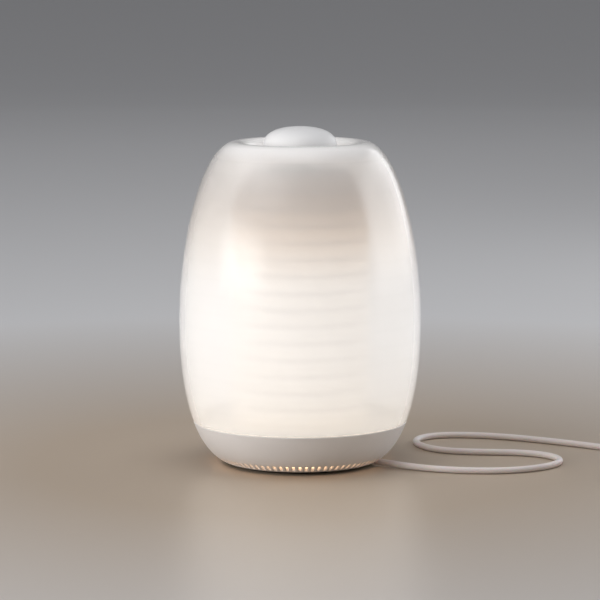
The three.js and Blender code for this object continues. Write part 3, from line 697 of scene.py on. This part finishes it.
# ---- shade, knob, well, core ----------------------------------------------------------------
def make_shade():
    """Outer face, lip rolled inwards round the opening, inner face, and a bevelled lower edge."""
    low = SEAM + 0.12 * MM
    bevel_high = 0.35 * MM
    bevel_wide = 0.5 * MM
    lip = (LIP_RADIUS, CREST - LIP_DOWN)
    outline = [
        *bowl_line.run(bowl_line.param(low + bevel_high), 1, 26)[:-1],
        *shoulder_line.run(0, 1, 44),
        *ellipse(lip, LIP_IN, LIP_DOWN, 90, 180, 12)[1:],
        *ellipse(lip, LIP_IN - SHADE_WALL, LIP_DOWN - SHADE_WALL, 180, 90, 8),
        *shoulder_line.run(1, 0, 30, SHADE_WALL)[1:],
        *bowl_line.run(1, bowl_line.param(low, SHADE_WALL), 20, SHADE_WALL)[1:],
        tuple(bowl_line.at(bowl_line.param(low), bevel_wide)),
    ]
    return finish_mesh("opal_shade", revolve(outline, 160), opal, replaces=["shade"])


def make_seam_ring():
    low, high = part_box("shade_gasket")
    outer = bowl_line.at(bowl_line.param(SEAM), 0.9 * MM).x
    inner = outer - 1.6 * MM
    edge = 0.1 * MM
    outline = rounded([(inner, low.z, 0), (outer, low.z, edge), (outer, high.z, edge), (inner, high.z, 0)])
    return finish_mesh("seam_ring", revolve(outline, 160), seam_glow,
                       replaces=["shade_gasket"])


KNOB_POWER = 2.3            # the dome is a slightly squared ellipse
KNOB_EQUATOR = 238 * MM
KNOB_WALL = 2.2 * MM
STEM_RADIUS = 7.5 * MM
STEM_LOW = 246 * MM


def squared(radius_x, radius_z, equator, start, end, count):
    """A slightly squared quarter ellipse about the axis, between two angles in degrees."""
    points = []
    for i in range(count + 1):
        angle = math.radians(start + (end - start) * i / count)
        across = max(0.0, math.cos(angle)) ** (2 / KNOB_POWER)
        rise = max(0.0, math.sin(angle)) ** (2 / KNOB_POWER)
        points.append((radius_x * across, equator + radius_z * rise))
    return points


def make_knob():
    """A hollow dome with a stem inside and a skirt that narrows downwards."""
    low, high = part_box("knob_cap")
    radius = high.x
    dome = high.z - KNOB_EQUATOR
    skirt = low.z
    outer = squared(radius, dome, KNOB_EQUATOR, 0, 90, 40)
    inner = squared(radius - KNOB_WALL, dome - KNOB_WALL, KNOB_EQUATOR, 72, 0, 14)
    outline = [
        (0, STEM_LOW), (STEM_RADIUS, STEM_LOW), (STEM_RADIUS, high.z - KNOB_WALL - 0.6 * MM),
        *inner,
        (radius - KNOB_WALL - 0.6 * MM, skirt + 0.2 * MM),
        (radius - KNOB_WALL - 0.4 * MM, skirt),
        (radius - 1.5 * MM, skirt),
        (radius - 1.15 * MM, skirt + 0.35 * MM),
        (radius - 0.6 * MM, skirt + 2 * MM),
        (radius - 0.15 * MM, skirt + 4.2 * MM),
        *outer,
    ]
    return finish_mesh("dome_knob", revolve(outline, 128, closed=False), knob_white, body="knob",
                       replaces=["knob_cap"])


def make_well():
    """A flat dish round the knob, with a hole for its shaft."""
    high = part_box("top_dish")[1]
    radius = high.x
    floor_low = 227 * MM
    floor_high = 228.5 * MM
    wall = 1.6 * MM
    hole = 4 * MM
    outline = rounded([
        (hole, floor_low, 0), (radius, floor_low, 1.5 * MM), (radius, high.z, 0.5 * MM),
        (radius - wall, high.z, 0.6 * MM), (radius - wall, floor_high, 3 * MM),
        (hole, floor_high, 0.3 * MM)], 8)
    return finish_mesh("knob_well", revolve(outline, 128), satin_white,
                       replaces=["top_dish"])


core_low, core_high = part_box("inner_diffuser")
CORE_RADIUS = core_high.x
CORE_LOW = core_low.z
CORE_HIGH = core_high.z
CORE_TOP_RADIUS = 37 * MM
CORE_SHOULDER = 180 * MM
RIB_DEPTH = 1.1 * MM
RIB_STEPS = 10
CORE_WALL = 2 * MM


def core_radius(height):
    """The core is straight up to its shoulder, and narrows above it."""
    rise = max(0.0, (height - CORE_SHOULDER) / (CORE_HIGH - CORE_SHOULDER))
    return CORE_RADIUS - (CORE_RADIUS - CORE_TOP_RADIUS) * rise ** 2.2


def make_core():
    """The diffuser's ribs are round, with a narrow groove between them."""
    outer = [(CORE_RADIUS - RIB_DEPTH, CORE_LOW)]
    last_rib = CORE_HIGH - 4 * MM
    height = RIB_FIRST
    while height < last_rib:
        for i in range(RIB_STEPS):
            here = height + RIB_PITCH * i / RIB_STEPS
            if here < CORE_HIGH:
                bulge = abs(math.sin(math.pi * i / RIB_STEPS)) ** 0.5
                outer.append((core_radius(here) - RIB_DEPTH * (1 - bulge), here))
        height += RIB_PITCH
    inside = [z * MM for z in (216.9, 208, 198, 188, 180)]
    inner = [(core_radius(z) - RIB_DEPTH - CORE_WALL, z) for z in inside]
    outline = [*outer, (CORE_TOP_RADIUS - RIB_DEPTH, CORE_HIGH), *inner,
               (CORE_RADIUS - RIB_DEPTH - CORE_WALL, CORE_LOW)]
    return finish_mesh("ribbed_core", revolve(outline, 112), core_glow,
                       replaces=["inner_diffuser"])


def make_core_cap():
    low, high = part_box("diffuser_cap")
    hole = 3.2 * MM
    outline = rounded([(hole, low.z, 0), (high.y, low.z, 0.2 * MM), (high.y, high.z, 1.2 * MM),
                       (hole, high.z, 0)], 5)
    return finish_mesh("core_cap", revolve(outline, 96), core_glow,
                       replaces=["diffuser_cap"])


make_shade()
make_seam_ring()
make_knob()
make_well()
make_core()
make_core_cap()


# ---- slotted bowl ---------------------------------------------------------------------------
SLOT_COUNT = 84
SLOT_HALF = 1.1 * MM
SLOT_END = 0.75 * MM        # solid wall kept above and below each slot
SLOTS_FROM = 0.022          # the slotted strip, in parts of the bowl's curve
SLOTS_TO = 0.12
CHANNEL_AZIMUTH = math.radians(-33)
CHANNEL_OFFSET = 15.3 * MM
RELIEF_START = 29 * MM
RELIEF_END = 56 * MM
RELIEF_START_HEIGHT = 4.7 * MM
RELIEF_END_HEIGHT = 3.4 * MM
SIDE_POINTS = 5
SOLID_AT_LEAD = math.radians(7)
EDGE_BREAK = 0.3 * MM
SECTOR_JOIN = 2e-6          # points of two sectors this close are one
LEAD_AZIMUTH = CHANNEL_AZIMUTH + math.atan2(CHANNEL_OFFSET, RELIEF_END)


def bowl_point(azimuth, t, depth):
    """A point of the bowl's wall, at part t of its curve and a depth inside its outer face."""
    radius, height = bowl_line.at(t, depth)
    return (radius * math.cos(azimuth), radius * math.sin(azimuth), height)


def sector_loop(azimuth, half_turn, depth):
    """The edge of one sector of the slotted strip, anticlockwise from its lower left corner."""
    rows = [SLOTS_FROM + (SLOTS_TO - SLOTS_FROM) * i / (SIDE_POINTS + 1) for i in range(SIDE_POINTS + 2)]
    loop = [(azimuth + turn, rows[0]) for turn in (-half_turn, 0, half_turn)]
    loop += [(azimuth + half_turn, t) for t in rows[1:-1]]
    loop += [(azimuth + turn, rows[-1]) for turn in (half_turn, 0, -half_turn)]
    loop += [(azimuth - half_turn, t) for t in reversed(rows[1:-1])]
    return [bowl_point(a, t, depth) for a, t in loop]


def slot_loop(azimuth, grow, depth):
    """A slot's outline, a long round-ended hole, with as many points as a sector's edge."""
    long = (bowl_line.at(SLOTS_TO) - bowl_line.at(SLOTS_FROM)).length
    half_long = long / 2 - SLOT_END + grow
    half_wide = SLOT_HALF + grow
    straight = half_long - half_wide
    spread = [-straight + 2 * straight * i / (SIDE_POINTS - 1) for i in range(SIDE_POINTS)]

    def round_end(middle, angles):
        return [(half_wide * math.cos(math.radians(a)), middle + half_wide * math.sin(math.radians(a)))
                for a in angles]

    outline = round_end(-straight, (225, 270, 315))
    outline += [(half_wide, s) for s in spread]
    outline += round_end(straight, (45, 90, 135))
    outline += [(-half_wide, s) for s in reversed(spread)]
    points = []
    for across, along in outline:
        t = SLOTS_FROM + (SLOTS_TO - SLOTS_FROM) * (0.5 + along / long)
        radius = bowl_line.at(t, depth).x
        points.append(bowl_point(azimuth + across / radius, t, depth))
    return points


def lead_distance(azimuth):
    """The angle between a direction and the lead's."""
    return abs((azimuth - LEAD_AZIMUTH + math.pi) % (2 * math.pi) - math.pi)


HALF_TURN = math.pi / SLOT_COUNT


def bowl_ring(bm, t, depth):
    return [bm.verts.new(bowl_point(FRONT + HALF_TURN * i, t, depth)) for i in range(2 * SLOT_COUNT)]


def flat_ring(bm, radius, height):
    return [bm.verts.new((radius * math.cos(FRONT + HALF_TURN * i),
                          radius * math.sin(FRONT + HALF_TURN * i), height))
            for i in range(2 * SLOT_COUNT)]


def bridge_all(bm, loops):
    for low, high in zip(loops, loops[1:]):
        bridge(bm, low, high)


def bowl_above_slots(bm):
    """Outer face, upper rim and inner face, down to the slots on both sides."""
    top = bowl_high.z
    rows = 26
    inner_rows = 14
    last = bowl_line.param(top - 0.3 * MM)
    outer = [bowl_ring(bm, SLOTS_TO + (last - SLOTS_TO) * i / rows, 0) for i in range(rows + 1)]
    inner_last = bowl_line.param(top, BOWL_WALL)
    inner = [bowl_ring(bm, inner_last + (SLOTS_TO - inner_last) * i / inner_rows, BOWL_WALL)
             for i in range(inner_rows + 1)]
    bevel = bowl_line.at(bowl_line.param(top), 0.35 * MM)
    bridge_all(bm, [*outer, flat_ring(bm, bevel.x, top), *inner])


def bowl_below_slots(bm):
    """The narrow flange at the bowl's lower edge, with its own bevels."""
    rim = EDGE_RADIUS - 2.9 * MM
    bevel = 0.3 * MM
    past_bevel = 0.004
    inner_foot = bowl_line.at(0, BOWL_WALL)
    bridge_all(bm, [
        bowl_ring(bm, SLOTS_FROM, BOWL_WALL),
        flat_ring(bm, inner_foot.x, inner_foot.y),
        flat_ring(bm, rim, inner_foot.y),
        flat_ring(bm, rim, FOOT_GAP + bevel),
        flat_ring(bm, rim + bevel, FOOT_GAP),
        flat_ring(bm, EDGE_RADIUS - 0.4 * MM, FOOT_GAP),
        bowl_ring(bm, past_bevel, 0),
        bowl_ring(bm, SLOTS_FROM, 0),
    ])


def bowl_sector(bm, azimuth):
    """One sector of the slotted strip: a slot with softened edges, or solid wall at the lead."""
    edge_out = [bm.verts.new(p) for p in sector_loop(azimuth, HALF_TURN, 0)]
    edge_in = [bm.verts.new(p) for p in sector_loop(azimuth, HALF_TURN, BOWL_WALL)]
    if lead_distance(azimuth) < SOLID_AT_LEAD:
        bm.faces.new(edge_out)
        bm.faces.new(edge_in)
        return
    loops = [edge_out]
    for grow, depth in ((EDGE_BREAK, 0), (0.08 * MM, 0.1 * MM), (0, EDGE_BREAK), (0, BOWL_WALL)):
        loops.append([bm.verts.new(p) for p in slot_loop(azimuth, grow, depth)])
    bridge_all(bm, [*loops, edge_in])


def make_bowl():
    bm = bmesh.new()
    bowl_above_slots(bm)
    bowl_below_slots(bm)
    for i in range(SLOT_COUNT):
        bowl_sector(bm, FRONT + 2 * HALF_TURN * i)
    bmesh.ops.remove_doubles(bm, verts=bm.verts, dist=SECTOR_JOIN)
    return finish_mesh("slotted_bowl", bm, satin_white, replaces=["base_bowl"])


def in_channel(bm, distance, height, tilt=0.0):
    """Lays something built along +Z into the lead's channel, pointing outwards."""
    place = (Matrix.Rotation(CHANNEL_AZIMUTH, 4, "Z")
             @ Matrix.Translation((distance, CHANNEL_OFFSET, height))
             @ Matrix.Rotation(math.radians(90) + tilt, 4, "Y"))
    bmesh.ops.transform(bm, matrix=place, verts=bm.verts)
    return bm


def cut_away(piece, bm):
    """Cuts a closed shape out of a piece, and keeps the result as its mesh."""
    mesh = bpy.data.meshes.new("cutter")
    bm.to_mesh(mesh)
    bm.free()
    cutter = bpy.data.objects.new("cutter", mesh)
    bpy.context.collection.objects.link(cutter)
    step = piece.modifiers.new("cut", "BOOLEAN")
    step.object = cutter
    step.operation = "DIFFERENCE"
    step.solver = "EXACT"
    graph = bpy.context.evaluated_depsgraph_get()
    result = bpy.data.meshes.new_from_object(piece.evaluated_get(graph))
    piece.modifiers.clear()
    result.validate()
    piece.data = result
    bpy.data.objects.remove(cutter)


def notch_cutter():
    """An arched notch through the bowl's lower edge, where the lead leaves."""
    radius = 3.5 * MM
    below = 5 * MM
    inwards = -8 * MM
    outwards = 12 * MM
    outline = [(-radius, -below), (radius, -below), (radius, 0)]
    outline += [(radius * math.cos(math.radians(a)), radius * math.sin(math.radians(a)))
                for a in range(15, 180, 15)]
    outline.append((-radius, 0))
    sections = [[(-y, x, z) for x, y in outline] for z in (inwards, outwards)]
    bm = loft(sections)
    bmesh.ops.recalc_face_normals(bm, faces=bm.faces)
    return in_channel(bm, RELIEF_END, RELIEF_END_HEIGHT)


def make_relief():
    """The lead's strain relief: a tapered sleeve with rings, lying in the channel."""
    long = RELIEF_END - RELIEF_START
    outline = [(0, 0), (3.7 * MM, 0), (3.9 * MM, 0.3 * MM), (3.9 * MM, 1.9 * MM), (3.6 * MM, 2.3 * MM)]
    rings = 8
    first = 4 * MM
    pitch = (long - first) / rings
    groove = 0.35 * MM
    for i in range(rings):
        start = first + pitch * i
        radius = (3.5 - 0.75 * i / rings) * MM
        outline += [(radius, start), (radius, start + 0.62 * pitch),
                    (radius - groove, start + 0.7 * pitch), (radius - groove, start + 0.92 * pitch)]
    outline += [(2.7 * MM, long - 0.2 * MM), (2.6 * MM, long), (0, long)]
    tilt = math.atan2(RELIEF_START_HEIGHT - RELIEF_END_HEIGHT, long)
    bm = in_channel(revolve(outline, 40, closed=False), RELIEF_START, RELIEF_START_HEIGHT, tilt)
    return finish_mesh("lead_relief", bm, sheath, replaces=["strain_relief"])


bowl = make_bowl()
cut_away(bowl, notch_cutter())
make_relief()


FOOT_INNER = 40.5 * MM
LEAD_GAP_HALF = 6.3 * MM    # half the width of the foot's gap for the lead


def foot_gap_cutter():
    """A box as wide as the gap, from inside the foot to past its outer edge."""
    half_high = 8 * MM
    long = 40 * MM
    corners = ((-half_high, -LEAD_GAP_HALF), (half_high, -LEAD_GAP_HALF),
               (half_high, LEAD_GAP_HALF), (-half_high, LEAD_GAP_HALF))
    gap = loft([[(x, y, z) for x, y in corners] for z in (0, long)])
    bmesh.ops.recalc_face_normals(gap, faces=gap.faces)
    return in_channel(gap, 26 * MM, 0)


def make_foot():
    """A rubber ring with a gap where the lead passes."""
    low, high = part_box("foot_ring")
    edge = 0.5 * MM
    outline = rounded([(FOOT_INNER, low.z, edge), (high.x, low.z, edge), (high.x, high.z, 0),
                       (FOOT_INNER, high.z, 0)], 4)
    foot = finish_mesh("foot_pad", revolve(outline, 128), soft_rubber,
                       replaces=["foot_ring"])
    cut_away(foot, foot_gap_cutter())


make_foot()


# ---- CAD nodes that stay, with finishes of their own ----------------------------------------
def board_material():
    """Circuit board: green lacquer, with lighter tracks."""
    color = (0.03, 0.16, 0.07)
    paint = Paint("board_lacquer", color, 0.3, Coat_Weight=0.4)
    tracks = paint.noise(0.004, 6, (1, 6, 1))
    paint.link(paint.ramp(tracks, [(0.48, color), (0.52, (0.06, 0.26, 0.12))]), "Base Color")
    return paint.bump(tracks, 0.00005).material


def lamp_material():
    """Lamp strips: pale yellow, and lit."""
    color = (0.9, 0.8, 0.5)
    paint = Paint("lamp_strip", color, 0.5)
    paint.vary(color, 0.05, paint.noise(0.003, 2))
    lamps = paint.ramp(paint.noise(0.01, 1), [(0.4, (1.0, 0.8, 0.5)), (0.6, (1.0, 0.85, 0.6))])
    paint.glow(lamps, 2.0)
    return paint.material


finishes = {
    "inner_white": inner_white,
    "diffuser": lit_cloth,
    "foot_rubber": soft_rubber,
    "dark_plastic": moulded("dark_plastic", (0.03, 0.03, 0.032), 0.6, grain=0.0007),
    "circuit_board": board_material(),
    "led_strip": lamp_material(),
    "steel": metal("plated_steel", (0.56, 0.56, 0.57), 0.32),
    "magnet": moulded("sintered_magnet", (0.05, 0.05, 0.055), 0.5, grain=0.001),
    "paper_cone": moulded("pressed_paper", (0.05, 0.045, 0.04), 0.9, grain=0.0009, depth=0.0001),
    "alloy": metal("extruded_alloy", (0.72, 0.73, 0.74), 0.35, (30, 30, 1)),
    "brass": metal("turned_brass", (0.72, 0.52, 0.22), 0.28),
    "white_body": satin_white,
    "opal_shade": opal,
    "cord_sheath": sheath,
    "plug_metal": nickel,
    "tie_fabric": sheath,
}
slot_of = {row["node"]: row["material_slot"] for row in frame["record"]["subparts"]}
for node, thing in frame["nodes"].items():
    if not thing.material_slots:
        thing.data.materials.append(None)
    for holder in thing.material_slots:
        holder.material = finishes[slot_of[node]]


# ---- stage and light ------------------------------------------------------------------------
MIDDLE = Vector((0, 0, 0.13))
FLOOR_RADIUS = 3.6
CURVE_RADIUS = 0.8
WALL_HIGH = 3.5
NEAR = 0.2                  # from here outwards the stage changes colour


def stage_material():
    """Pale floor, warmer round the speaker, and lit a little by itself further off."""
    color = (0.50, 0.41, 0.32)
    far_color = (0.33, 0.33, 0.335)
    paint = Paint("stage", color, 0.38)
    east = paint.math("POWER", paint.axis("X"), 2)
    north = paint.math("POWER", paint.axis("Y"), 2)
    away = paint.math("SQRT", paint.math("ADD", east, north))
    away = paint.math("ADD", away, paint.axis("Z"))
    paint.link(paint.ramp(paint.span(away, NEAR, 0.8), [(0.0, color), (1.0, far_color)]), "Base Color")
    paint.glow(paint.ramp(paint.span(away, NEAR, 6.0), [
        (0.0, (0, 0, 0)), (0.1, (0.26, 0.26, 0.265)), (0.45, (0.17, 0.17, 0.174)),
        (0.8, (0.06, 0.06, 0.062))]), 1.0)
    return paint.material


def make_stage():
    """A round floor that curves up into a wall."""
    curve = ellipse((FLOOR_RADIUS, CURVE_RADIUS), CURVE_RADIUS, CURVE_RADIUS, -90, 0, 12)
    outline = [(0, 0), (0.5, 0), *curve, (FLOOR_RADIUS + CURVE_RADIUS, WALL_HIGH)]
    floor = finish_mesh("floor", revolve(outline, 96, closed=False), stage_material(), body=None)


def softbox(name, place, wide, high, radiance, color=(1, 1, 1), fade=(0.3, 0.3)):
    """A rectangular light aimed at the speaker's middle. It fades towards its edges, over parts
    of its width and height."""
    data = bpy.data.lights.new(name, "AREA")
    data.shape = "RECTANGLE"
    data.size = wide
    data.size_y = high
    data.energy = math.pi * radiance * wide * high
    data.color = color
    data.use_nodes = True
    nodes = data.node_tree.nodes
    links = data.node_tree.links
    across = nodes.new("ShaderNodeSeparateXYZ")
    links.new(nodes.new("ShaderNodeNewGeometry").outputs["Parametric"], across.inputs[0])
    strength = nodes.new("ShaderNodeMath")
    strength.operation = "MULTIPLY"
    for socket, axis, part in zip(strength.inputs, ("X", "Y"), fade):
        centred = nodes.new("ShaderNodeMath")
        centred.operation = "PINGPONG"
        centred.inputs[1].default_value = 0.5
        links.new(across.outputs[axis], centred.inputs[0])
        edge = nodes.new("ShaderNodeMapRange")
        edge.interpolation_type = "SMOOTHSTEP"
        edge.inputs["From Max"].default_value = max(part, 0.001)
        links.new(centred.outputs[0], edge.inputs["Value"])
        links.new(edge.outputs[0], socket)
    links.new(strength.outputs[0], nodes["Emission"].inputs["Strength"])
    light = bpy.data.objects.new(name, data)
    light.location = place
    toward = MIDDLE - Vector(place)
    light.rotation_euler = toward.to_track_quat("-Z", "Y").to_euler()
    light.visible_camera = False
    bpy.context.collection.objects.link(light)
    return light


def round_about(azimuth, elevation, distance):
    """A place round the speaker: degrees to the camera's right, and degrees above the middle."""
    turn = FRONT + math.radians(azimuth)
    rise = math.radians(elevation)
    flat = distance * math.cos(rise)
    return (flat * math.cos(turn), flat * math.sin(turn), MIDDLE.z + distance * math.sin(rise))


def make_lights():
    softbox("left_softbox", round_about(-66, 45, 1.5), wide=3.2, high=1.5, radiance=1.5,
            color=(1.0, 0.99, 0.98), fade=(0.5, 0.5))
    softbox("right_strip", round_about(114, 18, 1.3), wide=2.2, high=1.2, radiance=1.45,
            color=(0.97, 0.98, 1.0), fade=(0.12, 0.3))
    fills = [
        softbox("top_fill", (0.0, -0.1, 1.8), wide=1.3, high=1.1, radiance=3.9),
        softbox("low_fill", round_about(-60, 10, 1.4), wide=1.6, high=0.44, radiance=8.2,
                color=(1.0, 0.98, 0.97)),
    ]
    for fill in fills:
        fill.visible_glossy = False


def make_world():
    """Dim, slightly blue light from all round."""
    world = bpy.data.worlds.new("studio")
    world.use_nodes = True
    background = world.node_tree.nodes["Background"]
    background.inputs["Color"].default_value = (0.9, 0.92, 1.0, 1)
    background.inputs["Strength"].default_value = 0.22
    bpy.context.scene.world = world


make_stage()
make_lights()
make_world()
bpy.context.scene.view_settings.view_transform = "Standard"
